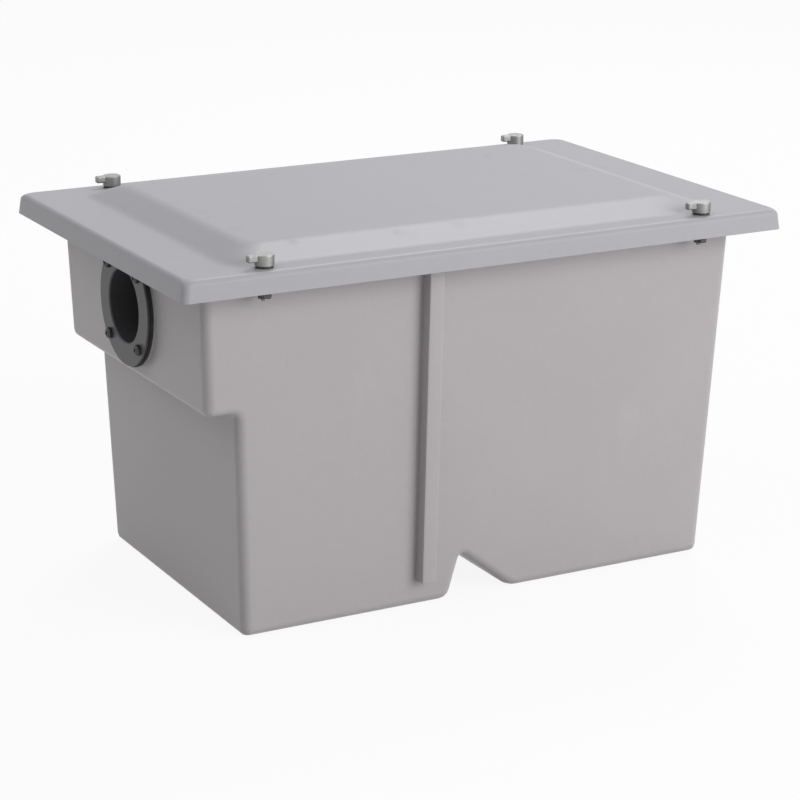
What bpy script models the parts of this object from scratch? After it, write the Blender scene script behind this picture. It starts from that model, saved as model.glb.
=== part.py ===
"""Floor-standing grease trap: a moulded resin tank, its bolted lid and what works inside it.

Metres, +Z up. The origin is on the floor under the middle of the tank. The inlet end is at -X,
the outlet end at +X, and the moulded guides for the baffle show on both long sides.
"""
import math

import bmesh
import bpy
from mathutils import Matrix, Vector

# Tank, measured outside at the top of its flange
TANK_LENGTH = 0.4824
TANK_WIDTH = 0.2881
TANK_HEIGHT = 0.2962
WALL = 0.004
INLET_DRAFT = 0.0322
OUTLET_DRAFT = 0.0456
SIDE_DRAFT = 0.0354
TANK_EDGE_RADIUS = 0.008
FLANGE_THICKNESS = 0.0055
FLANGE_END_REACH = 0.02455
FLANGE_SIDE_REACH = 0.02615
FLANGE_CORNER_RADIUS = 0.008

# The inlet end steps in below the pipe
STEP_DROP = 0.109
STEP_DEPTH = 0.0256
STEP_OUTER_RADIUS = 0.006
STEP_INNER_RADIUS = 0.004

# Foot of the tank: two flat chambers with a notch between them, which is a weir inside
FOOT_RADIUS = 0.006
NOTCH_LEFT = -0.0194
NOTCH_PEAK = -0.0088
NOTCH_HEIGHT = 0.038
NOTCH_RIGHT = 0.0388
NOTCH_LEFT_RADIUS = 0.01
NOTCH_PEAK_RADIUS = 0.0025
NOTCH_RIGHT_RADIUS = 0.02

# Moulded guide on each long side, for the baffle
GUIDE_PLACE = -0.0447
GUIDE_WIDTH = 0.0135
GUIDE_DEPTH = 0.0105
GUIDE_FOOT = 0.0235
GUIDE_CORNER_RADIUS = 0.002

# Gap between faces that touch
SEAT = 0.0003

# Lid and its gasket
GASKET_HEIGHT = 0.0074
GASKET_WIDTH = 0.019
GASKET_INSET = 0.0015
LID_THICKNESS = 0.003
SKIRT_GAP = 0.0015
SKIRT_HEIGHT = 0.0168
SKIRT_LEAN = 0.002
LID_EDGE_RADIUS = 0.005
LID_CORNER_RADIUS = 0.006
RAISED_HEIGHT = 0.0103
RAISED_SIDE_MARGIN = 0.0242
RAISED_END_MARGIN = 0.0483
RAISED_SIDE_RUN = 0.028
RAISED_END_RUN = 0.0275
RAISED_FOOT_CORNER_RADIUS = 0.024
RAISED_CREST_CORNER_RADIUS = 0.012
RAISED_FOOT_RADIUS = 0.005
RAISED_CREST_RADIUS = 0.006

# Lever bolts through the lid's rim and the tank's flange: a round boss with one arm
BOLT_FRONT_LEFT_MARGIN = 0.0738
BOLT_FRONT_RIGHT_MARGIN = 0.071
BOLT_BACK_LEFT_MARGIN = 0.0805
BOLT_BACK_RIGHT_MARGIN = 0.0586
BOLT_FROM_WALL = 0.01445
BOLT_RADIUS = 0.003
BOLT_HOLE_RADIUS = 0.0035
BOLT_TAIL = 0.0022
BOSS_RADIUS = 0.0076
BOSS_HEIGHT = 0.009
BOSS_EDGE_RADIUS = 0.0012
LEVER_REACH = 0.0143
LEVER_THICKNESS = 0.005
LEVER_TOP = 0.0086
LEVER_UNDERSIDE = 0.0034
LEVER_TIP_RADIUS = 0.0016
LID_WASHER_RADIUS = 0.007
LID_WASHER_THICKNESS = 0.001
FLANGE_WASHER_RADIUS = 0.0085
FLANGE_WASHER_THICKNESS = 0.0015
NUT_ACROSS_FLATS = 0.010
NUT_HEIGHT = 0.005

# Pipe sockets, the same moulding at both ends
INLET_DROP = 0.0498
OUTLET_DROP = 0.0848
SOCKET_BORE_RADIUS = 0.0303
SOCKET_DEPTH = 0.025
SOCKET_WALL = 0.0035
SOCKET_STOP_RADIUS = 0.0265
SOCKET_STOP_LENGTH = 0.0035
SOCKET_FLANGE_RADIUS = 0.0494
SOCKET_FLANGE_THICKNESS = 0.0021
SOCKET_FLANGE_CHAMFER = 0.0006
SOCKET_LIP = 0.001
SOCKET_GASKET_RADIUS = 0.0502
SOCKET_GASKET_THICKNESS = 0.0022
SOCKET_SEAT_PROUD = 0.0002
SOCKET_TRIM_GAP = 0.001
HUB_CLEARANCE = 0.0005
SCREW_CIRCLE_RADIUS = 0.0418
SCREW_RADIUS = 0.0025
SCREW_HOLE_RADIUS = 0.0028
SCREW_HEAD_RADIUS = 0.0045
SCREW_HEAD_HEIGHT = 0.0034
SCREW_TAIL = 0.002
SCREW_NUT_ACROSS_FLATS = 0.008
SCREW_NUT_HEIGHT = 0.004

# Outlet trap: a spigot on the outlet socket, a tee, its down pipe and its cap
SPIGOT_RADIUS = 0.030
SPIGOT_LENGTH = 0.020
TEE_CLEARANCE = 0.0004
TEE_WALL = 0.0035
TEE_SOCKET_DEPTH = 0.022
TEE_ARM_LENGTH = 0.050
DOWN_PIPE_WALL = 0.0025
DOWN_PIPE_FOOT = 0.045
CAP_TOP_THICKNESS = 0.004
CAP_GRIP_HEIGHT = 0.012
CAP_GRIP_THICKNESS = 0.004
CAP_GRIP_LENGTH = 0.030

# Baffle, in the two moulded guides
BAFFLE_THICKNESS = 0.0045
BAFFLE_DROP = 0.033
BAFFLE_SIDE_GAP = 0.0005
FINGER_HOLE_RADIUS = 0.014
FINGER_HOLE_PLACE = 0.060
FINGER_HOLE_DROP = 0.026

# Rest for the basket, an angle riveted to the baffle
REST_LENGTH = 0.200
REST_LEG = 0.0165
REST_DROP = 0.028
REST_THICKNESS = 0.0015
RIVET_END_MARGIN = 0.025
RIVET_RADIUS = 0.002
RIVET_HEAD_RADIUS = 0.004
RIVET_HEAD_HEIGHT = 0.0015

# Punched basket under the inlet, and its bail
BASKET_SHEET = 0.0012
BASKET_LEDGE_LAP = 0.019
BASKET_LEFT_RIM = 0.024
BASKET_RIGHT_RIM = 0.012
BASKET_SIDE_RIM = 0.010
BASKET_REST_GAP = 0.004
BASKET_SIDE_CLEARANCE = 0.0083
BASKET_DEPTH = 0.098
BASKET_TAPER = 0.004
BASKET_CORNER_RADIUS = 0.014
BASKET_HOLE_RADIUS = 0.004
BASKET_HOLE_PITCH = 0.028
BASKET_HOLE_MARGIN = 0.017
EAR_HEIGHT = 0.012
EAR_WIDTH = 0.016
EAR_BORE_RADIUS = 0.0028
BAIL_RADIUS = 0.0025
BAIL_LAP = 0.0025
BAIL_BEND_RADIUS = 0.012
BAIL_EYE_BEND_RADIUS = 0.005
BAIL_EAR_GAP = 0.001
BAIL_PIVOT_RISE = 0.0055

# Facets
CORNER_STEPS = 3
EDGE_STEPS = 3
ROUND_SIDES = 20
WASHER_SIDES = 16
SMALL_SIDES = 12
OVERCUT = 0.006

# Heights and places that follow from the values above
step_height = TANK_HEIGHT - STEP_DROP
inlet_height = TANK_HEIGHT - INLET_DROP
outlet_height = TANK_HEIGHT - OUTLET_DROP
baffle_top = TANK_HEIGHT - BAFFLE_DROP
rivet_place = REST_LENGTH / 2 - RIVET_END_MARGIN
flange_top = TANK_HEIGHT
flange_underside = TANK_HEIGHT - FLANGE_THICKNESS
lid_underside = flange_top + SEAT + GASKET_HEIGHT + SEAT
lid_top = lid_underside + LID_THICKNESS
skirt_bottom = lid_top - SKIRT_HEIGHT
flange_half_length = TANK_LENGTH / 2 + FLANGE_END_REACH
flange_half_width = TANK_WIDTH / 2 + FLANGE_SIDE_REACH
lid_half_length = flange_half_length + SKIRT_GAP + LID_THICKNESS
lid_half_width = flange_half_width + SKIRT_GAP + LID_THICKNESS
bolt_y = TANK_WIDTH / 2 + BOLT_FROM_WALL
bolt_places = [(BOLT_BACK_LEFT_MARGIN - lid_half_length, bolt_y),
               (lid_half_length - BOLT_BACK_RIGHT_MARGIN, bolt_y),
               (BOLT_FRONT_LEFT_MARGIN - lid_half_length, -bolt_y),
               (lid_half_length - BOLT_FRONT_RIGHT_MARGIN, -bolt_y)]


def clear_scene():
    for old in list(bpy.data.objects):
        bpy.data.objects.remove(old)


def finish(name, colour, roughness, metallic):
    """A plain principled material in the piece's own colour."""
    material = bpy.data.materials.new(name)
    material.use_nodes = True
    shader = material.node_tree.nodes["Principled BSDF"]
    shader.inputs["Base Color"].default_value = (*colour, 1.0)
    shader.inputs["Roughness"].default_value = roughness
    shader.inputs["Metallic"].default_value = metallic
    material.diffuse_color = (*colour, 1.0)
    return material


def inlet_wall(z):
    """How far the inlet end's outer face stands from the middle at height z, above the step."""
    return TANK_LENGTH / 2 - INLET_DRAFT * (TANK_HEIGHT - z)


def outlet_wall(z):
    return TANK_LENGTH / 2 - OUTLET_DRAFT * (TANK_HEIGHT - z)


def side_wall(z):
    return TANK_WIDTH / 2 - SIDE_DRAFT * (TANK_HEIGHT - z)


def socket_seat(height, wall):
    """How far out the flat round seat of a pipe socket stands: just proud of the wall at its own top."""
    return wall(height + SOCKET_GASKET_RADIUS) + SOCKET_SEAT_PROUD


def inset_corners(corners, inset):
    """Moves every side of a closed counter-clockwise outline inwards, and fits its corner radii."""
    count = len(corners)
    lines = []
    for i in range(count):
        start = Vector(corners[i][0])
        run = (Vector(corners[(i + 1) % count][0]) - start).normalized()
        lines.append((start + Vector((-run.y, run.x)) * inset, run))
    moved = []
    for i in range(count):
        before, before_run = lines[i - 1]
        after, after_run = lines[i]
        turn = before_run.cross(after_run)
        along = (after - before).cross(after_run) / turn
        radius = corners[i][1] - inset if turn > 0 else corners[i][1] + inset
        moved.append((before + before_run * along, max(radius, SEAT)))
    return moved


def rounded(corners, steps):
    """Points of a closed outline whose corners, each a place and a radius, are rounded by arcs."""
    count = len(corners)
    points = []
    for i in range(count):
        corner = Vector(corners[i][0])
        radius = corners[i][1]
        back = (Vector(corners[i - 1][0]) - corner).normalized()
        ahead = (Vector(corners[(i + 1) % count][0]) - corner).normalized()
        half = back.angle(ahead) / 2
        centre = corner + (back + ahead).normalized() * radius / math.sin(half)
        first = corner + back * radius / math.tan(half) - centre
        sweep = math.pi - 2 * half
        if first.cross(corner - centre) < 0:
            sweep = -sweep
        for k in range(steps + 1):
            angle = sweep * k / steps
            turned = Vector((first.x * math.cos(angle) - first.y * math.sin(angle),
                             first.x * math.sin(angle) + first.y * math.cos(angle)))
            points.append(centre + turned)
    return points


def rectangle(half_length, half_width, radius):
    return [((-half_length, -half_width), radius), ((half_length, -half_width), radius),
            ((half_length, half_width), radius), ((-half_length, half_width), radius)]


def loft(rings):
    """A closed body through rings of equal count, with a flat face over the first and the last."""
    bm = bmesh.new()
    loops = [[bm.verts.new(point) for point in ring] for ring in rings]
    for lower, upper in zip(loops, loops[1:]):
        for i in range(len(lower)):
            j = (i + 1) % len(lower)
            bm.faces.new((lower[i], lower[j], upper[j], upper[i]))
    bm.faces.new(loops[0])
    bm.faces.new(loops[-1])
    bmesh.ops.recalc_face_normals(bm, faces=bm.faces)
    return bm


def ring_body(rings):
    """As loft, but the last ring joins the first, for a body with a hole through it."""
    bm = bmesh.new()
    loops = [[bm.verts.new(point) for point in ring] for ring in rings]
    for lower, upper in zip(loops, loops[1:] + loops[:1]):
        for i in range(len(lower)):
            j = (i + 1) % len(lower)
            bm.faces.new((lower[i], lower[j], upper[j], upper[i]))
    bmesh.ops.recalc_face_normals(bm, faces=bm.faces)
    return bm


def circle(radius, height, sides):
    angles = [math.tau * i / sides for i in range(sides)]
    return [Vector((radius * math.cos(angle), radius * math.sin(angle), height)) for angle in angles]


def turned(profile, sides):
    """A solid turned about +Z from (radius, height) pairs that run up its outside."""
    return loft([circle(radius, height, sides) for radius, height in profile])


def turned_ring(profile, sides):
    """A turned body with a bore: the profile runs up the outside and down the bore."""
    return ring_body([circle(radius, height, sides) for radius, height in profile])


def prism(outline, low, high, axis):
    """An outline pushed from low to high along x, y or z. The outline's pair is the other two axes."""
    def place(point, depth):
        if axis == "x":
            return Vector((depth, point[0], point[1]))
        if axis == "y":
            return Vector((point[0], depth, point[1]))
        return Vector((point[0], point[1], depth))
    return loft([[place(point, low) for point in outline], [place(point, high) for point in outline]])


def rod(radius, start, end, sides):
    """A straight cylinder between two points."""
    start = Vector(start)
    end = Vector(end)
    bm = turned([(radius, 0.0), (radius, (end - start).length)], sides)
    turn = Vector((0, 0, 1)).rotation_difference(end - start).to_matrix().to_4x4()
    bmesh.ops.transform(bm, matrix=Matrix.Translation(start) @ turn, verts=bm.verts)
    return bm


def body(name, bm):
    """A new object that holds the mesh as modelled."""
    mesh = bpy.data.meshes.new(name)
    bm.to_mesh(mesh)
    bm.free()
    thing = bpy.data.objects.new(name, mesh)
    bpy.context.scene.collection.objects.link(thing)
    return thing


def combine(target, bm, operation):
    """Joins a shape to a body or cuts it out of the body, and keeps the result as plain mesh."""
    tool = body("tool", bm)
    step = target.modifiers.new("step", "BOOLEAN")
    step.operation = operation
    step.object = tool
    bpy.context.view_layer.update()
    graph = bpy.context.evaluated_depsgraph_get()
    result = bpy.data.meshes.new_from_object(target.evaluated_get(graph))
    target.modifiers.clear()
    target.data = result
    bpy.data.objects.remove(tool)


def join(target, bm):
    combine(target, bm, "UNION")


def cut(target, bm):
    combine(target, bm, "DIFFERENCE")


def dress(thing, material, sharp=math.radians(30)):
    thing.data.materials.clear()
    thing.data.materials.append(material)
    thing.data.shade_smooth()
    thing.data.set_sharp_from_angle(angle=sharp)


def copies(original, name, places, turn=None):
    """Places the first piece and its copies, which share its mesh, and numbers them from 1."""
    for number, place in enumerate(places, start=1):
        thing = original if number == 1 else bpy.data.objects.new(name, original.data)
        if number > 1:
            bpy.context.scene.collection.objects.link(thing)
        thing.name = f"{name}_{number}"
        thing.location = place
        if turn:
            thing.rotation_euler = turn


def tank_section(above):
    """The tank's outline seen from the front, closed off a little above its top."""
    top = TANK_HEIGHT + above
    lower_left = inlet_wall(step_height) - STEP_DEPTH
    foot_left = lower_left - INLET_DRAFT * step_height
    return [((-inlet_wall(top), top), TANK_EDGE_RADIUS),
            ((-inlet_wall(step_height), step_height), STEP_OUTER_RADIUS),
            ((-lower_left, step_height), STEP_INNER_RADIUS),
            ((-foot_left, 0.0), FOOT_RADIUS),
            ((NOTCH_LEFT, 0.0), NOTCH_LEFT_RADIUS),
            ((NOTCH_PEAK, NOTCH_HEIGHT), NOTCH_PEAK_RADIUS),
            ((NOTCH_RIGHT, 0.0), NOTCH_RIGHT_RADIUS),
            ((outlet_wall(0.0), 0.0), FOOT_RADIUS),
            ((outlet_wall(top), top), TANK_EDGE_RADIUS)]


def tank_block(inset, above):
    """The tank's solid form, drawn in by inset: its section pushed across the width, with rounded edges
    and with long sides that lean in towards the foot."""
    radius = TANK_EDGE_RADIUS - inset
    half = TANK_WIDTH / 2 - inset
    arc = [math.pi / 2 * k / EDGE_STEPS for k in range(EDGE_STEPS + 1)]
    stations = [(-half + radius * (1 - math.cos(a)), radius * (1 - math.sin(a))) for a in arc]
    stations += [(-across, drawn) for across, drawn in reversed(stations)]
    rings = []
    for across, drawn in stations:
        outline = rounded(inset_corners(tank_section(above), inset + drawn), CORNER_STEPS)
        ring = []
        for point in outline:
            lean = SIDE_DRAFT * (TANK_HEIGHT - point.y)
            ring.append(Vector((point.x, across - math.copysign(lean, across), point.y)))
        rings.append(ring)
    return loft(rings)


def guide_block(side, inset, low, high):
    """One moulded guide, proud of the long side by its depth, or the slot inside it when drawn in."""
    half = GUIDE_WIDTH / 2 - inset
    radius = max(GUIDE_CORNER_RADIUS - inset, SEAT)
    rings = []
    for z in (low, high):
        outer = side_wall(z) + GUIDE_DEPTH - inset
        inner = side_wall(z) - WALL - inset
        plan = [((GUIDE_PLACE - half, -outer), radius), ((GUIDE_PLACE + half, -outer), radius),
                ((GUIDE_PLACE + half, -inner), SEAT), ((GUIDE_PLACE - half, -inner), SEAT)]
        rings.append([Vector((p.x, side * p.y, z)) for p in rounded(plan, 2)])
    return loft(rings)


def make_tank(material):
    tank = body("tank", tank_block(0.0, OVERCUT))
    for side in (1, -1):
        join(tank, guide_block(side, 0.0, GUIDE_FOOT, flange_underside + FLANGE_THICKNESS / 2))
    for end, height, wall in ((-1, inlet_height, inlet_wall), (1, outlet_height, outlet_wall)):
        join(tank, rod(SOCKET_GASKET_RADIUS, (end * (wall(height) - WALL), 0, height),
                       (end * socket_seat(height, wall), 0, height), 2 * ROUND_SIDES))
    plate = rounded(rectangle(flange_half_length, flange_half_width, FLANGE_CORNER_RADIUS), CORNER_STEPS)
    join(tank, prism(plate, flange_underside, flange_top, "z"))
    cut(tank, prism(rectangle_points(2 * TANK_LENGTH, 2 * TANK_WIDTH), flange_top, 2 * TANK_HEIGHT, "z"))
    cut(tank, tank_block(WALL, 2 * OVERCUT))
    for side in (1, -1):
        cut(tank, guide_block(side, WALL, GUIDE_FOOT + WALL, flange_top + OVERCUT))
    for x, y in bolt_places:
        cut(tank, rod(BOLT_HOLE_RADIUS, (x, y, flange_underside - OVERCUT), (x, y, flange_top + OVERCUT),
                      SMALL_SIDES))
    for end, height, wall in ((-1, inlet_height, inlet_wall), (1, outlet_height, outlet_wall)):
        outside = end * (wall(height) + 2 * OVERCUT)
        inside = end * (wall(height) - WALL - 2 * OVERCUT)
        hub = SOCKET_BORE_RADIUS + SOCKET_WALL + HUB_CLEARANCE
        cut(tank, rod(hub, (inside, 0, height), (outside, 0, height), 2 * ROUND_SIDES))
        for y, z in screw_places(height):
            cut(tank, rod(SCREW_HOLE_RADIUS, (inside, y, z), (outside, y, z), SMALL_SIDES))
    dress(tank, material)


def rectangle_points(length, width):
    return [(-length / 2, -width / 2), (length / 2, -width / 2),
            (length / 2, width / 2), (-length / 2, width / 2)]


def screw_places(height):
    """The four screws of a pipe socket, on the diagonals round its bore."""
    reach = SCREW_CIRCLE_RADIUS * math.sqrt(0.5)
    return [(side * reach, height + rise * reach) for side in (-1, 1) for rise in (-1, 1)]


def raised_profile():
    """The raised centre's slope as (share of the run outwards from the crest, height) pairs."""
    run = RAISED_SIDE_RUN
    far = 3 * RAISED_FOOT_RADIUS
    corners = [((-far, RAISED_HEIGHT), SEAT), ((-far, -far), SEAT), ((run + far, -far), SEAT),
               ((run + far, 0.0), SEAT), ((run, 0.0), RAISED_FOOT_RADIUS),
               ((0.0, RAISED_HEIGHT), RAISED_CREST_RADIUS)]
    points = rounded(corners, 2)
    slope = points[12:18]
    return [(point.x / run, point.y) for point in slope]


def lid_rings(skin):
    """Rings of the lid's outer face for skin 0, or of its underside, a skin's thickness in."""
    rings = []
    edge = max(LID_EDGE_RADIUS - skin, SEAT)
    top = lid_top - skin
    corner = LID_CORNER_RADIUS - skin / 2
    lean = SKIRT_LEAN / SKIRT_HEIGHT

    def ring(inwards, z, radius):
        plan = rectangle(lid_half_length - inwards, lid_half_width - inwards, radius)
        outline = rounded(plan, CORNER_STEPS)
        rings.append([Vector((p.x, p.y, z)) for p in outline])

    ring(skin, skirt_bottom, corner)
    for k in range(EDGE_STEPS + 1):
        angle = math.pi / 2 * k / EDGE_STEPS
        rise = top - edge + edge * math.sin(angle)
        lean_here = lean * (top - edge - skirt_bottom)
        ring(skin + lean_here + edge * (1 - math.cos(angle)), rise, corner + edge * (1 - math.cos(angle)))
    foot_length = lid_half_length - RAISED_END_MARGIN - skin / 2
    foot_width = lid_half_width - RAISED_SIDE_MARGIN - skin / 2
    for share, height in raised_profile():
        half_length = foot_length - RAISED_END_RUN * (1 - share)
        half_width = foot_width - RAISED_SIDE_RUN * (1 - share)
        growth = RAISED_FOOT_CORNER_RADIUS - RAISED_CREST_CORNER_RADIUS
        radius = RAISED_CREST_CORNER_RADIUS + growth * share
        outline = rounded(rectangle(half_length, half_width, radius), CORNER_STEPS)
        rings.append([Vector((p.x, p.y, top + height)) for p in outline])
    return rings


def make_lid(material):
    lid = body("lid", loft(list(reversed(lid_rings(0.0))) + lid_rings(LID_THICKNESS)))
    for x, y in bolt_places:
        cut(lid, rod(BOLT_HOLE_RADIUS, (x, y, lid_underside - OVERCUT), (x, y, lid_top + OVERCUT),
                     SMALL_SIDES))
    dress(lid, material)


def make_lid_gasket(material):
    outer_length = flange_half_length - GASKET_INSET
    outer_width = flange_half_width - GASKET_INSET
    radius = FLANGE_CORNER_RADIUS - GASKET_INSET
    outer = rounded(rectangle(outer_length, outer_width, radius), CORNER_STEPS)
    inner_plan = rectangle(outer_length - GASKET_WIDTH, outer_width - GASKET_WIDTH, radius / 2)
    inner = rounded(inner_plan, CORNER_STEPS)
    low = flange_top + SEAT
    high = low + GASKET_HEIGHT
    rings = [[Vector((p.x, p.y, z)) for p in outline]
             for outline, z in ((outer, low), (outer, high), (inner, high), (inner, low))]
    gasket = body("lid_gasket", ring_body(rings))
    for x, y in bolt_places:
        cut(gasket, rod(BOLT_HOLE_RADIUS, (x, y, low - OVERCUT), (x, y, high + OVERCUT), SMALL_SIDES))
    dress(gasket, material)


def washer(name, radius, bore, thickness):
    profile = [(radius, 0), (radius, thickness), (bore, thickness), (bore, 0)]
    return body(name, turned_ring(profile, WASHER_SIDES))


def hex_nut(name, across_flats, height, bore):
    """A nut with its lower face at the origin: a hexagon with a point at the middle of each side too."""
    flat = across_flats / 2
    outer = []
    inner = []
    for i in range(SMALL_SIDES):
        angle = math.tau * i / SMALL_SIDES
        reach = flat if i % 2 else flat / math.cos(math.pi / 6)
        outer.append(Vector((reach * math.cos(angle), reach * math.sin(angle), 0)))
        inner.append(Vector((bore * math.cos(angle), bore * math.sin(angle), 0)))
    up = Vector((0, 0, height))
    rings = [outer, [p + up for p in outer], [p + up for p in inner], inner]
    return body(name, ring_body(rings))


def make_fasteners(steel, lever_steel):
    seat = lid_top + SEAT + LID_WASHER_THICKNESS + SEAT
    nut_top = flange_underside - SEAT - FLANGE_WASHER_THICKNESS - SEAT
    tail = nut_top - NUT_HEIGHT - BOLT_TAIL - seat
    profile = [(BOLT_RADIUS * 0.8, tail), (BOLT_RADIUS, tail + BOLT_RADIUS * 0.4), (BOLT_RADIUS, 0.0),
               (BOSS_RADIUS - BOSS_EDGE_RADIUS, 0.0), (BOSS_RADIUS, BOSS_EDGE_RADIUS),
               (BOSS_RADIUS, BOSS_HEIGHT - BOSS_EDGE_RADIUS), (BOSS_RADIUS - BOSS_EDGE_RADIUS, BOSS_HEIGHT)]
    bolt = body("lever_bolt", turned(profile, WASHER_SIDES))
    arm = [((-LEVER_REACH, LEVER_UNDERSIDE), LEVER_TIP_RADIUS), ((-BOSS_RADIUS / 2, LEVER_UNDERSIDE), SEAT),
           ((-BOSS_RADIUS / 2, LEVER_TOP), SEAT), ((-LEVER_REACH, LEVER_TOP), LEVER_TIP_RADIUS)]
    join(bolt, prism(rounded(arm, CORNER_STEPS), -LEVER_THICKNESS / 2, LEVER_THICKNESS / 2, "y"))
    dress(bolt, lever_steel)
    copies(bolt, "lever_bolt", [(x, y, seat) for x, y in bolt_places])

    lid_washer = washer("lid_washer", LID_WASHER_RADIUS, BOLT_HOLE_RADIUS, LID_WASHER_THICKNESS)
    dress(lid_washer, steel)
    copies(lid_washer, "lid_washer", [(x, y, lid_top + SEAT) for x, y in bolt_places])

    low = flange_underside - SEAT - FLANGE_WASHER_THICKNESS
    flange_washer = washer("flange_washer", FLANGE_WASHER_RADIUS, BOLT_HOLE_RADIUS, FLANGE_WASHER_THICKNESS)
    dress(flange_washer, steel)
    copies(flange_washer, "flange_washer", [(x, y, low) for x, y in bolt_places])

    nut = hex_nut("flange_nut", NUT_ACROSS_FLATS, NUT_HEIGHT, BOLT_RADIUS + SEAT)
    dress(nut, steel)
    copies(nut, "flange_nut", [(x, y, nut_top - NUT_HEIGHT) for x, y in bolt_places])


def trim_top(thing, height):
    """The inlet's flange and gasket are cut flat at the top, to go under the tank's flange."""
    block = rectangle_points(2 * TANK_LENGTH, 2 * TANK_WIDTH)
    cut(thing, prism(block, flange_underside - SOCKET_TRIM_GAP, height + 2 * SOCKET_GASKET_RADIUS, "z"))


def make_socket(end, label, height, wall, spigot, plastic, rubber, screw_steel, steel):
    """A flanged pipe socket bolted to the flat seat on one end wall, with a rubber gasket between them.
    end is -1 at the inlet and 1 at the outlet."""
    gasket_back = socket_seat(height, wall) + SEAT
    gasket_face = gasket_back + SOCKET_GASKET_THICKNESS
    face = gasket_face + SEAT + SOCKET_FLANGE_THICKNESS
    hub = SOCKET_BORE_RADIUS + SOCKET_WALL
    flat = SOCKET_FLANGE_RADIUS - SOCKET_FLANGE_CHAMFER
    stop = face - SOCKET_DEPTH
    rim = face - SOCKET_FLANGE_CHAMFER
    profile = [(flat, face), (SOCKET_FLANGE_RADIUS, rim), (SOCKET_FLANGE_RADIUS, gasket_face + SEAT),
               (hub, gasket_face + SEAT), (hub, stop - SOCKET_STOP_LENGTH)]
    if spigot:
        profile += [(SPIGOT_RADIUS, stop - SOCKET_STOP_LENGTH),
                    (SPIGOT_RADIUS, stop - SOCKET_STOP_LENGTH - SPIGOT_LENGTH),
                    (SOCKET_STOP_RADIUS, stop - SOCKET_STOP_LENGTH - SPIGOT_LENGTH)]
    else:
        profile += [(SOCKET_STOP_RADIUS, stop - SOCKET_STOP_LENGTH)]
    profile += [(SOCKET_STOP_RADIUS, stop), (SOCKET_BORE_RADIUS, stop),
                (SOCKET_BORE_RADIUS, face - SOCKET_LIP), (SOCKET_BORE_RADIUS + SOCKET_LIP, face)]
    along = Matrix.Translation((0, 0, height)) @ Matrix.Rotation(end * math.pi / 2, 4, "Y")

    bm = turned_ring(profile, 2 * ROUND_SIDES)
    bmesh.ops.transform(bm, matrix=along, verts=bm.verts)
    socket = body(f"{label}_socket", bm)

    profile = [(SOCKET_GASKET_RADIUS, gasket_back), (SOCKET_GASKET_RADIUS, gasket_face),
               (hub + HUB_CLEARANCE, gasket_face), (hub + HUB_CLEARANCE, gasket_back)]
    bm = turned_ring(profile, 2 * ROUND_SIDES)
    bmesh.ops.transform(bm, matrix=along, verts=bm.verts)
    gasket = body(f"{label}_gasket", bm)

    for thing in (socket, gasket):
        for y, z in screw_places(height):
            cut(thing, rod(SCREW_HOLE_RADIUS, (end * (wall(z) - OVERCUT), y, z),
                           (end * (face + OVERCUT), y, z), SMALL_SIDES))
        if height + SOCKET_GASKET_RADIUS > flange_underside - SOCKET_TRIM_GAP:
            trim_top(thing, height)
    dress(socket, plastic)
    dress(gasket, rubber)

    inner_face = min(wall(z) for y, z in screw_places(height)) - WALL
    tail = inner_face - SEAT - SCREW_NUT_HEIGHT - SCREW_TAIL - (face + SEAT)
    head = [(SCREW_RADIUS, tail), (SCREW_RADIUS, 0.0), (SCREW_HEAD_RADIUS, 0.0),
            (SCREW_HEAD_RADIUS, SCREW_HEAD_HEIGHT * 0.45), (SCREW_HEAD_RADIUS * 0.6, SCREW_HEAD_HEIGHT)]
    screw = body(f"{label}_screw", turned(head, SMALL_SIDES))
    dress(screw, screw_steel)
    turn = (0, end * math.pi / 2, 0)
    copies(screw, f"{label}_screw", [(end * (face + SEAT), y, z) for y, z in screw_places(height)], turn)

    nut = hex_nut(f"{label}_nut", SCREW_NUT_ACROSS_FLATS, SCREW_NUT_HEIGHT, SCREW_RADIUS + SEAT)
    dress(nut, steel)
    places = [(end * (wall(z) - WALL - 2 * SEAT - SCREW_NUT_HEIGHT), y, z) for y, z in screw_places(height)]
    copies(nut, f"{label}_nut", places, turn)
    return stop - SOCKET_STOP_LENGTH


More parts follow.
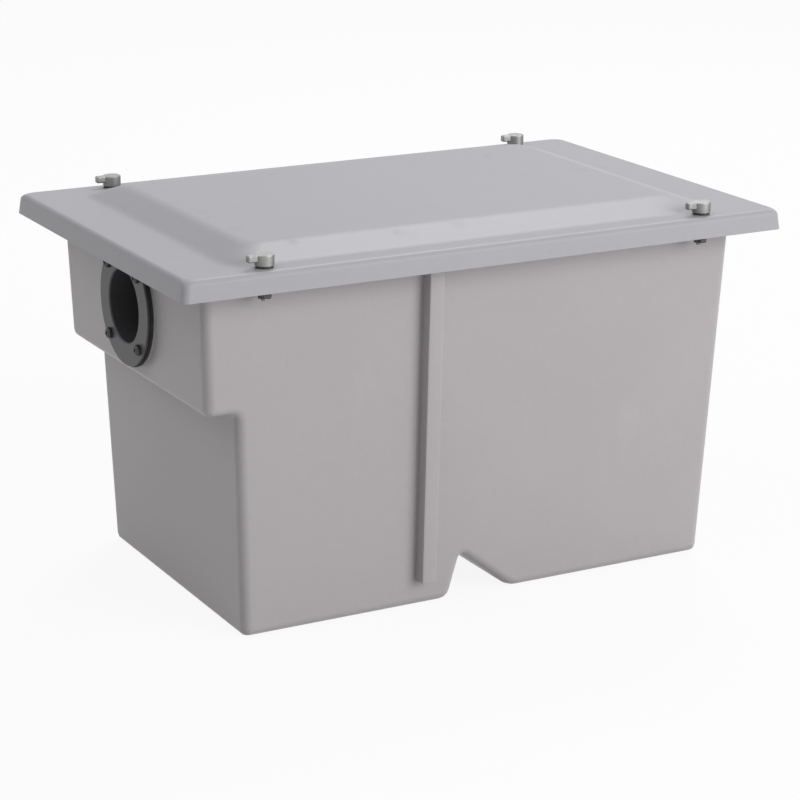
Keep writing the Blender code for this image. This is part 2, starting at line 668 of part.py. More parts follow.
def make_trap(hub_end, plastic, pipe_plastic):
    """The dipping outlet: a tee over the spigot, a pipe down from it and a cap to rod the drain through."""
    bore = SPIGOT_RADIUS + TEE_CLEARANCE
    skin = bore + TEE_WALL
    branch_end = hub_end - SEAT
    branch_stop = hub_end - SPIGOT_LENGTH - SEAT
    axis_x = branch_stop - skin
    low = outlet_height - TEE_ARM_LENGTH
    high = outlet_height + TEE_ARM_LENGTH
    tee = body("trap_tee", rod(skin, (axis_x, 0, low), (axis_x, 0, high), ROUND_SIDES))
    join(tee, rod(skin, (axis_x, 0, outlet_height), (branch_end, 0, outlet_height), ROUND_SIDES))
    through = SOCKET_STOP_RADIUS
    cut(tee, rod(through, (axis_x, 0, low - OVERCUT), (axis_x, 0, high + OVERCUT), ROUND_SIDES))
    past_branch = (branch_end + OVERCUT, 0, outlet_height)
    cut(tee, rod(through, (axis_x, 0, outlet_height), past_branch, ROUND_SIDES))
    cut(tee, rod(bore, (branch_stop, 0, outlet_height), past_branch, ROUND_SIDES))
    low_stop = low + TEE_SOCKET_DEPTH - SEAT
    high_stop = high - TEE_SOCKET_DEPTH + SEAT
    cut(tee, rod(bore, (axis_x, 0, low - OVERCUT), (axis_x, 0, low_stop), ROUND_SIDES))
    cut(tee, rod(bore, (axis_x, 0, high_stop), (axis_x, 0, high + OVERCUT), ROUND_SIDES))
    dress(tee, plastic)

    inside = SPIGOT_RADIUS - DOWN_PIPE_WALL
    pipe_top = low_stop - SEAT
    profile = [(SPIGOT_RADIUS, DOWN_PIPE_FOOT), (SPIGOT_RADIUS, pipe_top),
               (inside, pipe_top), (inside, DOWN_PIPE_FOOT)]
    pipe = body("down_pipe", turned_ring(profile, ROUND_SIDES))
    pipe.location = (axis_x, 0, 0)
    dress(pipe, pipe_plastic)

    cap_foot = high_stop + SEAT
    cap_top = high + SEAT + CAP_TOP_THICKNESS
    profile = [(inside, cap_foot), (SPIGOT_RADIUS, cap_foot), (SPIGOT_RADIUS, high + SEAT),
               (skin, high + SEAT), (skin, cap_top)]
    cap = body("trap_cap", turned(profile, ROUND_SIDES))
    grip_half = CAP_GRIP_LENGTH / 2
    grip_foot = cap_top - CAP_TOP_THICKNESS / 2
    grip_top = cap_top + CAP_GRIP_HEIGHT
    grip = [((-grip_half, grip_foot), SEAT), ((grip_half, grip_foot), SEAT),
            ((grip_half, grip_top), CAP_GRIP_HEIGHT / 3), ((-grip_half, grip_top), CAP_GRIP_HEIGHT / 3)]
    join(cap, prism(rounded(grip, CORNER_STEPS), -CAP_GRIP_THICKNESS / 2, CAP_GRIP_THICKNESS / 2, "y"))
    cap.location = (axis_x, 0, 0)
    dress(cap, plastic)


def make_baffle(resin, steel):
    """The plate that slides into the moulded guides, and the riveted angle that the basket rests on."""
    low = GUIDE_FOOT + WALL + SEAT
    left = GUIDE_PLACE - BAFFLE_THICKNESS / 2
    right = GUIDE_PLACE + BAFFLE_THICKNESS / 2

    def half_width(z):
        return side_wall(z) + GUIDE_DEPTH - WALL - BAFFLE_SIDE_GAP

    plate = [(-half_width(low), low), (half_width(low), low), (half_width(baffle_top), baffle_top),
             (-half_width(baffle_top), baffle_top)]
    baffle = body("baffle_plate", prism(plate, left, right, "x"))
    hole_height = baffle_top - FINGER_HOLE_DROP
    ledge = ledge_height()
    rivet_height = ledge - REST_DROP / 2
    for side in (-1, 1):
        y = side * FINGER_HOLE_PLACE
        cut(baffle, rod(FINGER_HOLE_RADIUS, (left - OVERCUT, y, hole_height),
                        (right + OVERCUT, y, hole_height), ROUND_SIDES))
        y = side * rivet_place
        cut(baffle, rod(RIVET_RADIUS + SEAT, (left - OVERCUT, y, rivet_height),
                        (right + OVERCUT, y, rivet_height), SMALL_SIDES))
    dress(baffle, resin)

    back = left - SEAT
    front = back - REST_LEG
    angle = [(back, ledge - REST_DROP), (back, ledge), (front, ledge), (front, ledge - REST_THICKNESS),
             (back - REST_THICKNESS, ledge - REST_THICKNESS), (back - REST_THICKNESS, ledge - REST_DROP)]
    rest = body("basket_rest", prism(angle, -REST_LENGTH / 2, REST_LENGTH / 2, "y"))
    for side in (-1, 1):
        y = side * rivet_place
        cut(rest, rod(RIVET_RADIUS + SEAT, (front, y, rivet_height), (right, y, rivet_height), SMALL_SIDES))
    dress(rest, steel)

    head_seat = back - REST_THICKNESS - SEAT
    tail_seat = right + SEAT
    shank = tail_seat - head_seat
    profile = [(RIVET_HEAD_RADIUS * 0.6, -RIVET_HEAD_HEIGHT), (RIVET_HEAD_RADIUS, 0.0), (RIVET_RADIUS, 0.0),
               (RIVET_RADIUS, shank), (RIVET_HEAD_RADIUS, shank),
               (RIVET_HEAD_RADIUS * 0.6, shank + RIVET_HEAD_HEIGHT)]
    rivet = body("rest_rivet", turned(profile, SMALL_SIDES))
    dress(rivet, steel)
    copies(rivet, "rest_rivet", [(head_seat, side * rivet_place, rivet_height) for side in (-1, 1)],
           (0, math.pi / 2, 0))


def ledge_height():
    """Top of the ledge that the step makes inside the tank."""
    return step_height + WALL


def make_basket(steel, wire_steel):
    """A basket of punched sheet: its left rim lies on the tank's ledge and its right rim on the rest."""
    ledge = ledge_height()
    low_rim = ledge + SEAT
    top = low_rim + BASKET_SHEET
    rest_edge = GUIDE_PLACE - BAFFLE_THICKNESS / 2 - SEAT - REST_LEG
    right = rest_edge - BASKET_REST_GAP
    ledge_edge = -(inlet_wall(step_height) - STEP_DEPTH - WALL)
    left = ledge_edge - BASKET_LEDGE_LAP + BASKET_LEFT_RIM
    middle = (left + right) / 2
    half_length = (right - left) / 2
    half_width = side_wall(ledge) - WALL - BASKET_SIDE_CLEARANCE - BASKET_SIDE_RIM
    foot = top - BASKET_DEPTH

    def ring(grow, z, radius):
        outline = rounded(rectangle(half_length + grow, half_width + grow, radius), CORNER_STEPS)
        return [Vector((middle + p.x, p.y, z)) for p in outline]

    rim_plan = [((left - BASKET_LEFT_RIM, -half_width - BASKET_SIDE_RIM), BASKET_CORNER_RADIUS / 2),
                ((right + BASKET_RIGHT_RIM, -half_width - BASKET_SIDE_RIM), BASKET_CORNER_RADIUS / 2),
                ((right + BASKET_RIGHT_RIM, half_width + BASKET_SIDE_RIM), BASKET_CORNER_RADIUS / 2),
                ((left - BASKET_LEFT_RIM, half_width + BASKET_SIDE_RIM), BASKET_CORNER_RADIUS / 2)]
    rim = rounded(rim_plan, CORNER_STEPS)
    corner = BASKET_CORNER_RADIUS
    rings = [ring(-BASKET_TAPER, foot, corner),
             ring(0.0, low_rim, corner),
             [Vector((p.x, p.y, low_rim)) for p in rim],
             [Vector((p.x, p.y, top)) for p in rim],
             ring(-BASKET_SHEET, top, corner - BASKET_SHEET),
             ring(-BASKET_TAPER - BASKET_SHEET, foot + BASKET_SHEET, corner - BASKET_SHEET)]
    basket = body("basket", loft(rings))

    pivot_height = top + BAIL_PIVOT_RISE
    ear_y = half_width + BASKET_SIDE_RIM / 2
    for side in (-1, 1):
        ear = [((middle - EAR_WIDTH / 2, low_rim + SEAT), SEAT),
               ((middle + EAR_WIDTH / 2, low_rim + SEAT), SEAT),
               ((middle + EAR_WIDTH / 2, top + EAR_HEIGHT), EAR_WIDTH / 3),
               ((middle - EAR_WIDTH / 2, top + EAR_HEIGHT), EAR_WIDTH / 3)]
        inner = side * (ear_y - BASKET_SHEET / 2)
        outer = side * (ear_y + BASKET_SHEET / 2)
        join(basket, prism(rounded(ear, CORNER_STEPS), min(inner, outer), max(inner, outer), "y"))
        cut(basket, rod(EAR_BORE_RADIUS, (middle, inner - side * OVERCUT, pivot_height),
                        (middle, outer + side * OVERCUT, pivot_height), SMALL_SIDES))

    cut(basket, hole_field(half_length, half_width, middle, 0.0, foot - OVERCUT, foot + 2 * OVERCUT, "z"))
    wall_middle = (foot + low_rim) / 2
    wall_half = (low_rim - foot) / 2
    cut(basket, hole_field(half_length, wall_half, middle, wall_middle, -2 * half_width,
                           2 * half_width, "y"))
    cut(basket, hole_field(half_width, wall_half, 0.0, wall_middle, left - OVERCUT, right + OVERCUT, "x"))
    dress(basket, steel)
    make_bail(wire_steel, middle, ear_y, pivot_height, half_length + BAIL_LAP)


def hole_field(half_first, half_second, middle_first, middle_second, low, high, axis):
    """A field of six-sided punches over one wall, on a square grid kept clear of the folds."""
    bm = bmesh.new()
    pitch = BASKET_HOLE_PITCH
    counts = [int((2 * (half - BASKET_HOLE_MARGIN)) / pitch) + 1 for half in (half_first, half_second)]
    for i in range(counts[0]):
        for j in range(counts[1]):
            first = middle_first + (i - (counts[0] - 1) / 2) * pitch
            second = middle_second + (j - (counts[1] - 1) / 2) * pitch
            outline = [(first + BASKET_HOLE_RADIUS * math.cos(math.tau * k / 6),
                        second + BASKET_HOLE_RADIUS * math.sin(math.tau * k / 6)) for k in range(6)]
            punch = prism(outline, low, high, axis)
            mesh = bpy.data.meshes.new("punch")
            punch.to_mesh(mesh)
            punch.free()
            bm.from_mesh(mesh)
            bpy.data.meshes.remove(mesh)
    return bm


def make_bail(material, middle, ear_y, pivot_height, reach):
    """A bent wire that turns in the basket's ears and lies down on the right rim."""
    end = ear_y + BASKET_SHEET / 2 + BAIL_EAR_GAP + BAIL_RADIUS
    leg = ear_y - BASKET_SHEET / 2 - BAIL_EAR_GAP - BAIL_EYE_BEND_RADIUS
    corners = [((0.0, -end), SEAT), ((0.0, -leg), BAIL_EYE_BEND_RADIUS),
               ((reach, -leg), BAIL_BEND_RADIUS), ((reach, leg), BAIL_BEND_RADIUS),
               ((0.0, leg), BAIL_EYE_BEND_RADIUS), ((0.0, end), SEAT)]
    points = [Vector(corners[0][0])]
    for i in range(1, len(corners) - 1):
        trio = [corners[i - 1], corners[i], corners[i + 1]]
        points += rounded(trio, CORNER_STEPS)[CORNER_STEPS + 1:2 * (CORNER_STEPS + 1)]
    points.append(Vector(corners[-1][0]))
    rings = []
    for i, point in enumerate(points):
        before = points[max(i - 1, 0)]
        after = points[min(i + 1, len(points) - 1)]
        run = (after - before).normalized()
        across = Vector((-run.y, run.x))
        ring = []
        for k in range(SMALL_SIDES - 4):
            angle = math.tau * k / (SMALL_SIDES - 4)
            side = across * BAIL_RADIUS * math.cos(angle)
            ring.append(Vector((point.x + side.x, point.y + side.y, BAIL_RADIUS * math.sin(angle))))
        rings.append(ring)
    bm = loft(rings)
    drop = math.asin((BAIL_PIVOT_RISE - BAIL_RADIUS - SEAT) / reach)
    bmesh.ops.transform(bm, matrix=Matrix.Rotation(drop, 4, "Y"), verts=bm.verts)
    bail = body("basket_handle", bm)
    bail.location = (middle, 0, pivot_height)
    dress(bail, material)


def build():
    clear_scene()
    resin = finish("moulded_resin", (0.42, 0.41, 0.42), 0.34, 0.0)
    lid_resin = finish("lid_resin", (0.44, 0.43, 0.44), 0.32, 0.0)
    board = finish("baffle_board", (0.50, 0.50, 0.50), 0.40, 0.0)
    plastic = finish("grey_pipe_plastic", (0.085, 0.085, 0.09), 0.38, 0.0)
    pipe_plastic = finish("down_pipe_plastic", (0.16, 0.16, 0.17), 0.40, 0.0)
    rubber = finish("black_rubber", (0.012, 0.012, 0.014), 0.70, 0.0)
    steel = finish("stainless_steel", (0.46, 0.46, 0.45), 0.32, 1.0)
    lever_steel = finish("lever_steel", (0.44, 0.45, 0.43), 0.40, 1.0)
    screw_steel = finish("screw_steel", (0.07, 0.07, 0.065), 0.45, 1.0)
    sheet_steel = finish("punched_sheet", (0.52, 0.52, 0.51), 0.28, 1.0)

    make_tank(resin)
    make_lid(lid_resin)
    make_lid_gasket(rubber)
    make_fasteners(steel, lever_steel)
    finishes = (plastic, rubber, screw_steel, steel)
    make_socket(-1, "inlet", inlet_height, inlet_wall, False, *finishes)
    hub_end = make_socket(1, "outlet", outlet_height, outlet_wall, True, *finishes)
    make_trap(hub_end, plastic, pipe_plastic)
    make_baffle(board, sheet_steel)
    make_basket(sheet_steel, steel)


build()
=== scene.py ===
import math

import bmesh
import bpy
from mathutils import Matrix, Vector


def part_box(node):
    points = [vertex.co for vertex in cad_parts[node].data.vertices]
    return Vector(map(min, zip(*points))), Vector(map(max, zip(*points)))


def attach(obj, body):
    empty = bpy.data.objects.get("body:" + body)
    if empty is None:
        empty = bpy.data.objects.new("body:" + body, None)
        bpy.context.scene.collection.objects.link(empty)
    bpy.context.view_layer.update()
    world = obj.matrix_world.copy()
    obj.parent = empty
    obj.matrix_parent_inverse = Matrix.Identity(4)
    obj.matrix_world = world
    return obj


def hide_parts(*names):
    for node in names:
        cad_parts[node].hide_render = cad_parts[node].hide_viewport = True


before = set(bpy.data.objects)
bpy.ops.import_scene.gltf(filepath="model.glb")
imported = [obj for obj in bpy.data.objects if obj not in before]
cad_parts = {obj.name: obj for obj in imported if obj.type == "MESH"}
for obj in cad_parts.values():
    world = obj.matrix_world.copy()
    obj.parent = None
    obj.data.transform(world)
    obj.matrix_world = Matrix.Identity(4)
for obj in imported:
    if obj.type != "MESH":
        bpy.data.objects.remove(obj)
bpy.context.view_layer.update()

# The camera stands where the photographer's stood: to the left of the front, a little over two metres
# off and well above the lid. Its place was solved from the straight edges of the tank and the lid.
bpy.ops.object.camera_add(location=(-0.98316, -1.82179, 0.7627),
                          rotation=(math.radians(73.063), math.radians(-0.23), math.radians(-28.223)))
camera = bpy.context.object
camera.name = "camera"
camera.data.lens = 113.68
camera.data.sensor_width = 36.0
camera.data.shift_x = 0.01036
camera.data.shift_y = 0.00089
bpy.context.scene.camera = camera
bpy.context.scene.view_settings.view_transform = "Standard"


# The studio: a white paper floor under an even sky, a large soft box at the front right, one high at
# the back right, whose gloss lies on the lid's front slope, and a weak one over the left end. The
# camera and every reflection see paper and sky as plain white.
class Wire:
    """One value in a material. Sums written on it place Math nodes, and add() places any other node."""

    def __init__(self, tree, socket=None):
        self.tree = tree
        self.socket = socket

    def add(self, kind, settings=None, inputs=None, output=0):
        node = self.tree.nodes.new(kind)
        for name, value in (settings or {}).items():
            setattr(node, name, value)
        for name, value in (inputs or {}).items():
            if isinstance(value, Wire):
                self.tree.links.new(value.socket, node.inputs[name])
            else:
                node.inputs[name].default_value = value
        return Wire(self.tree, node.outputs[output])

    def sum(self, operation, first, second):
        return self.add("ShaderNodeMath", {"operation": operation}, {0: first, 1: second})

    def __add__(self, other):
        return self.sum("ADD", self, other)

    def __radd__(self, other):
        return self.sum("ADD", other, self)

    def __sub__(self, other):
        return self.sum("SUBTRACT", self, other)

    def __rsub__(self, other):
        return self.sum("SUBTRACT", other, self)

    def __mul__(self, other):
        return self.sum("MULTIPLY", self, other)

    def __rmul__(self, other):
        return self.sum("MULTIPLY", other, self)


def shown_white(tree):
    """1 for rays from the camera, a reflection or clear glass, which see the paper and the sky as white."""
    wire = Wire(tree)
    camera_ray = wire.add("ShaderNodeLightPath", output="Is Camera Ray")
    glossy_ray = wire.add("ShaderNodeLightPath", output="Is Glossy Ray")
    clear_ray = wire.add("ShaderNodeLightPath", output="Is Transmission Ray")
    return wire.sum("MAXIMUM", wire.sum("MAXIMUM", camera_ray, glossy_ray), clear_ray)


SKY_LEVEL = 0.36
PAPER_SHADE = 0.68
PAPER_GLOW = 1.03
GLOW_SHARE = 0.88
FLOOR_SIZE = 9.0
FLOOR_DROP = 0.0004
LAMP_AIM = Vector((0.0, 0.0, 0.2))
world = bpy.data.worlds.new("studio_sky")
bpy.context.scene.world = world
world.use_nodes = True
white = shown_white(world.node_tree)
sky = world.node_tree.nodes["Background"]
sky.inputs["Color"].default_value = (1.0, 1.0, 1.0, 1.0)
world.node_tree.links.new((white + (1.0 - white) * SKY_LEVEL).socket, sky.inputs["Strength"])

bpy.ops.object.select_all(action="DESELECT")
bpy.ops.mesh.primitive_plane_add(size=FLOOR_SIZE, location=(0.0, 0.0, -FLOOR_DROP))
floor = bpy.context.object
floor.name = "paper_floor"
bpy.ops.object.transform_apply(location=True, rotation=True, scale=True)
paper = bpy.data.materials.new("white_paper")
paper.use_nodes = True
paper_tree = paper.node_tree
paper_tree.nodes.remove(paper_tree.nodes["Principled BSDF"])
white = shown_white(paper_tree)
matte = white.add("ShaderNodeBsdfDiffuse", inputs={"Color": (PAPER_SHADE, PAPER_SHADE, PAPER_SHADE, 1.0)})
glow = white.add("ShaderNodeEmission", inputs={"Color": (1.0, 1.0, 1.0, 1.0), "Strength": PAPER_GLOW})
laid = white.add("ShaderNodeMixShader", inputs={0: white * GLOW_SHARE, 1: matte, 2: glow})
paper_tree.links.new(laid.socket, paper_tree.nodes["Material Output"].inputs["Surface"])
floor.data.materials.append(paper)


def soft_box(name, towards, distance, side, radiance):
    """A square soft box that faces the tank from the direction given."""
    away = Vector(towards).normalized()
    bpy.ops.object.light_add(type="AREA", location=away * distance + LAMP_AIM)
    lamp = bpy.context.object
    lamp.name = name
    lamp.rotation_euler = away.to_track_quat("Z", "Y").to_euler()
    lamp.data.shape = "SQUARE"
    lamp.data.size = side
    lamp.data.energy = radiance * math.pi * side * side


soft_box("front_right_box", towards=(0.50, -0.90, 0.34), distance=4.0, side=2.46, radiance=5.9)
soft_box("back_right_box", towards=(0.453, 0.452, 0.770), distance=3.8, side=1.58, radiance=7.0)
soft_box("top_left_box", towards=(-0.60, 0.10, 0.80), distance=3.8, side=2.2, radiance=1.3)


# The tank: one moulding in light grey resin, four millimetres thick, with a flange round its top, a
# step under the inlet, a notch across its foot and a guide channel down each long side.
def new_finish(name, colour, roughness, metallic=0.0, gloss=0.5):
    """A new material, its shader, a wire to write sums with and the place on the piece."""
    material = bpy.data.materials.new(name)
    material.use_nodes = True
    material.diffuse_color = (*colour, 1.0)
    shader = material.node_tree.nodes["Principled BSDF"]
    shader.inputs["Base Color"].default_value = (*colour, 1.0)
    shader.inputs["Roughness"].default_value = roughness
    shader.inputs["Metallic"].default_value = metallic
    shader.inputs["Specular IOR Level"].default_value = gloss
    wire = Wire(material.node_tree)
    place = wire.add("ShaderNodeTexCoord", output="Object")
    return material, shader, wire, place


def grain(place, per_metre, detail=2.0, stretch=(1.0, 1.0, 1.0)):
    """Uneven grey from 0 to 1 about one half, with so many spots a metre along each axis."""
    drawn = place.add("ShaderNodeMapping", inputs={"Vector": place, "Scale": stretch})
    return place.add("ShaderNodeTexNoise", inputs={"Vector": drawn, "Scale": per_metre, "Detail": detail})


def between(value, low, high):
    """0 where value is under low and 1 where it is over high, with a soft rise between them."""
    return value.add("ShaderNodeMapRange", {"interpolation_type": "SMOOTHSTEP"},
                     {"Value": value, "From Min": low, "From Max": high, "To Min": 0.0, "To Max": 1.0})


def tint(share, plain, marked):
    """The plain colour where share is 0 and the marked one where it is 1."""
    return share.add("ShaderNodeMix", {"data_type": "RGBA"},
                     {"Factor": share, "A": (*plain, 1.0), "B": (*marked, 1.0)}, output=2)


def feed(shader, **values):
    """Links wires to the shader's sockets, whose names are written with an underscore for a space."""
    for name, value in values.items():
        value.tree.links.new(value.socket, shader.inputs[name.replace("_", " ")])


def dented(height, depth):
    """The surface's own normal, raised and sunk by height, from 0 to 1, times depth in metres."""
    return height.add("ShaderNodeBump", inputs={"Height": height, "Strength": 1.0, "Distance": depth})


MERGE_DISTANCE = 0.00002
LEVEL_ANGLE = 0.6


def merged_copy(node, name, sharp=38.0, edge=0.0005, steps=2):
    """A piece with the solid's own shape: its triangles are merged, its hard edges are broken by a
    small round, and its curved faces are shaded smooth."""
    bpy.ops.object.select_all(action="DESELECT")
    piece = bpy.data.objects.new(name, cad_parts[node].data.copy())
    bpy.context.scene.collection.objects.link(piece)
    piece.select_set(True)
    bpy.context.view_layer.objects.active = piece
    bpy.ops.object.mode_set(mode="EDIT")
    bpy.ops.mesh.select_all(action="SELECT")
    bpy.ops.mesh.remove_doubles(threshold=MERGE_DISTANCE)
    bpy.ops.mesh.dissolve_limited(angle_limit=math.radians(LEVEL_ANGLE))
    bpy.ops.object.mode_set(mode="OBJECT")
    if edge:
        broken = piece.modifiers.new("broken_edges", "BEVEL")
        broken.width = edge
        broken.segments = steps
        broken.limit_method = "ANGLE"
        broken.angle_limit = math.radians(sharp)
        bpy.ops.object.modifier_apply(modifier=broken.name)
    bpy.ops.object.shade_smooth_by_angle(angle=math.radians(sharp))
    weighted = piece.modifiers.new("flat_faces_stay_flat", "WEIGHTED_NORMAL")
    weighted.keep_sharp = True
    bpy.ops.object.modifier_apply(modifier=weighted.name)
    return piece


def fit_piece(piece, body, finish, node):
    """Gives the piece its finish, hangs it on its body and lets it stand for its solid."""
    piece.data.materials.clear()
    piece.data.materials.append(finish)
    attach(piece, body)
    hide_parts(node)


def resin_finish(name, colour, roughness, gloss, shift):
    """Moulded resin: a faint cloud in its colour, an orange peel from the mould, rubbed and dusty spots."""
    material, shader, wire, place = new_finish(name, colour, roughness, gloss=gloss)
    moved = wire.add("ShaderNodeMapping", inputs={"Vector": place, "Location": (shift, shift, shift)})
    cloud = grain(moved, 9.0, 3.0)
    mottle = grain(moved, 170.0, 2.0)
    peel = grain(moved, 520.0, 2.0)
    rub = between(grain(moved, 34.0, 5.0, (1.0, 1.0, 0.35)), 0.60, 0.74)
    pits = between(grain(moved, 950.0, 1.0), 0.70, 0.78)
    share = cloud * 0.55 + mottle * 0.25 + rub * 0.20
    pale = tuple(c * 1.07 for c in colour)
    deep = tuple(c * 0.93 for c in colour)
    base = tint(share, deep, pale)
    soiled = wire.add("ShaderNodeMix", {"data_type": "RGBA"},
                      {"Factor": pits * 0.35, "A": base, "B": (*(c * 0.72 for c in colour), 1.0)}, output=2)
    feed(shader, Base_Color=soiled,
         Roughness=roughness - 0.03 + cloud * 0.05 + rub * 0.12,
         Normal=dented(peel * 0.8 + mottle * 0.5 + rub * 0.1, 0.00010))
    return material


TANK_RESIN = (0.420, 0.400, 0.412)
tank_finish = resin_finish("tank_resin", TANK_RESIN, 0.36, 0.22, 0.0)
tank = merged_copy("tank", "tank_moulding", edge=0.0006)
fit_piece(tank, "trap", tank_finish, "tank")


# The lid: a three millimetre moulding in the same resin, with a raised centre and a skirt that drops
# over the tank's flange; its colour is tinted a shade bluer as a painted sky reflection on its top. It is
# lofted through its outlines from the skirt inwards, once for its upper face and once for its underside,
# and drilled for the four lever bolts.
LID_RESIN_SKY_TINT = (0.388, 0.382, 0.408)
lid_finish = resin_finish("lid_resin", LID_RESIN_SKY_TINT, 0.41, 0.20, 3.7)
LID_EDGE = (0.27025, 0.1747)
LID_FOOT = (0.22195, 0.1505)
LID_CREST = (0.19445, 0.1225)
LID_SKIRT, LID_RIM, LID_TOP = 0.2904, 0.3072, 0.3175
LID_WALL, LID_BEND, LID_LEAN = 0.003, 0.005, 0.0014
LID_EDGE_CORNER, LID_FOOT_CORNER, LID_CREST_CORNER = 0.006, 0.024, 0.014
LID_FOOT_KNEE, LID_CREST_KNEE = 0.0040, 0.0055
CORNER_STEPS, KNEE_STEPS = 10, 7
BOLT_HOLE_RADIUS, DRILL_LENGTH = 0.0035, 0.03
LEVEL_PLAY = 0.00002


def start_piece(name):
    """An empty mesh at the origin, open for modelling."""
    bpy.ops.object.select_all(action="DESELECT")
    piece = bpy.data.objects.new(name, bpy.data.meshes.new(name))
    bpy.context.scene.collection.objects.link(piece)
    piece.select_set(True)
    bpy.context.view_layer.objects.active = piece
    bpy.ops.object.mode_set(mode="EDIT")
    return piece


def pick(kind, wanted):
    """In edit mode, selects only the faces or edges that are wanted, by their middle."""
    shape = bmesh.from_edit_mesh(bpy.context.object.data)
    bpy.context.tool_settings.mesh_select_mode = (False, kind == "edges", kind == "faces")
    for group in (shape.faces, shape.edges, shape.verts):
        for item in group:
            item.select = False
    for item in getattr(shape, kind):
        if wanted(item, sum((v.co for v in item.verts), Vector()) / len(item.verts)):
            item.select_set(True)
    shape.select_flush_mode()
    bmesh.update_edit_mesh(bpy.context.object.data)


def level_at(z):
    """For pick: what lies level at this height."""
    return lambda item, middle: all(abs(v.co.z - z) < LEVEL_PLAY for v in item.verts)


def outline(half, corner, z):
    """A level rectangle with round corners, as points that run round it."""
    points = []
    for turn, (x, y) in enumerate(((1, 1), (-1, 1), (-1, -1), (1, -1))):
        for step in range(CORNER_STEPS + 1):
            angle = math.pi / 2 * (turn + step / CORNER_STEPS)
            points.append(Vector((x * (half[0] - corner) + corner * math.cos(angle),
                                  y * (half[1] - corner) + corner * math.sin(angle), z)))
    return points


def lid_skin(depth):
    """The outlines of the lid's upper face from its skirt to its crest, or of its underside this deep."""
    corner = LID_EDGE_CORNER - depth / 2
    rings = [outline([at - depth for at in LID_EDGE], corner, LID_SKIRT)]
    bend = LID_BEND - depth
    for step in range(KNEE_STEPS + 1):
        angle = math.pi / 2 * step / KNEE_STEPS
        inwards = bend * (1 - math.cos(angle))
        rings.append(outline([at - (depth + LID_LEAN + inwards) for at in LID_EDGE], corner + inwards,
                             LID_RIM - LID_BEND + bend * math.sin(angle)))
    run, rise = LID_FOOT[1] - LID_CREST[1], LID_TOP - LID_RIM
    for knee, before, after, soft in (((0.0, 0.0), (-1.0, 0.0), (run, rise), LID_FOOT_KNEE),
                                      ((run, rise), (-run, -rise), (1.0, 0.0), LID_CREST_KNEE)):
        ways = [Vector(way).normalized() * soft for way in (before, after)]
        for step in range(KNEE_STEPS + 1):
            share = step / KNEE_STEPS
            bent = Vector(knee) + ways[0] * (1 - share) ** 2 + ways[1] * share ** 2
            up_slope = bent.x / run
            half = [foot - depth / 2 - up_slope * (foot - crest) for foot, crest in zip(LID_FOOT, LID_CREST)]
            corner = LID_FOOT_CORNER - up_slope * (LID_FOOT_CORNER - LID_CREST_CORNER)
            rings.append(outline(half, corner, LID_RIM - depth + bent.y))
    return rings


def end_modelling():
    """Turns the faces outwards and leaves edit mode."""
    bpy.ops.mesh.select_all(action="SELECT")
    bpy.ops.mesh.normals_make_consistent(inside=False)
    bpy.ops.object.mode_set(mode="OBJECT")


def use(piece, kind, **settings):
    """Adds a modifier with these settings and applies it."""
    modifier = piece.modifiers.new(kind.lower(), kind)
    for name, value in settings.items():
        setattr(modifier, name, value)
    bpy.context.view_layer.objects.active = piece
    bpy.ops.object.modifier_apply(modifier=modifier.name)


def smooth(piece, sharp):
    """Shades the rounds smooth and keeps the flats flat."""
    bpy.ops.object.select_all(action="DESELECT")
    piece.select_set(True)
    bpy.context.view_layer.objects.active = piece
    bpy.ops.object.shade_smooth_by_angle(angle=math.radians(sharp))
    use(piece, "WEIGHTED_NORMAL", keep_sharp=True)


def middle_of(node):
    """The middle of the solid's box."""
    low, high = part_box(node)
    return (low + high) / 2


lid = start_piece("lid_moulding")
shape = bmesh.from_edit_mesh(lid.data)
skins = [[shape.verts.new(point) for point in ring]
         for ring in lid_skin(LID_WALL)[::-1] + lid_skin(0.0)]
for below, above in zip(skins, skins[1:]):
    for here in range(len(below)):
        shape.faces.new((below[here - 1], below[here], above[here], above[here - 1]))
shape.faces.new(skins[0])
shape.faces.new(skins[-1])
bmesh.update_edit_mesh(lid.data)
end_modelling()
for number in range(1, 5):
    at = middle_of(f"lid_washer_{number}")
    bpy.ops.object.select_all(action="DESELECT")
    bpy.ops.mesh.primitive_cylinder_add(vertices=32, radius=BOLT_HOLE_RADIUS, depth=DRILL_LENGTH, location=at)
    drill = bpy.context.object
    use(lid, "BOOLEAN", object=drill, operation="DIFFERENCE", solver="EXACT")
    bpy.data.objects.remove(drill)
smooth(lid, 32.0)
fit_piece(lid, "cover", lid_finish, "lid")


# The seals: black sponge rubber under the lid's rim and solid rubber rings behind both pipe sockets,
# each cut from sheet and squeezed by the bolts.
def rubber_finish():
    """Black rubber with talc dust in its pores."""
    material, shader, wire, place = new_finish("seal_rubber", (0.012, 0.012, 0.014), 0.68)
    pores = grain(place, 900.0, 3.0)
    talc = between(grain(place, 60.0, 4.0), 0.52, 0.72)
    feed(shader, Base_Color=tint(talc * 0.5 + pores * 0.2, (0.009, 0.009, 0.011), (0.030, 0.030, 0.033)),
         Roughness=0.60 + pores * 0.15, Normal=dented(pores, 0.00012))
    return material


rubber = rubber_finish()
for node, name, body in (("lid_gasket", "lid_seal", "cover"), ("inlet_gasket", "inlet_ring", "trap"),
                         ("outlet_gasket", "outlet_ring", "trap")):
    seal = merged_copy(node, name, edge=0.0004)
    fit_piece(seal, body, rubber, node)


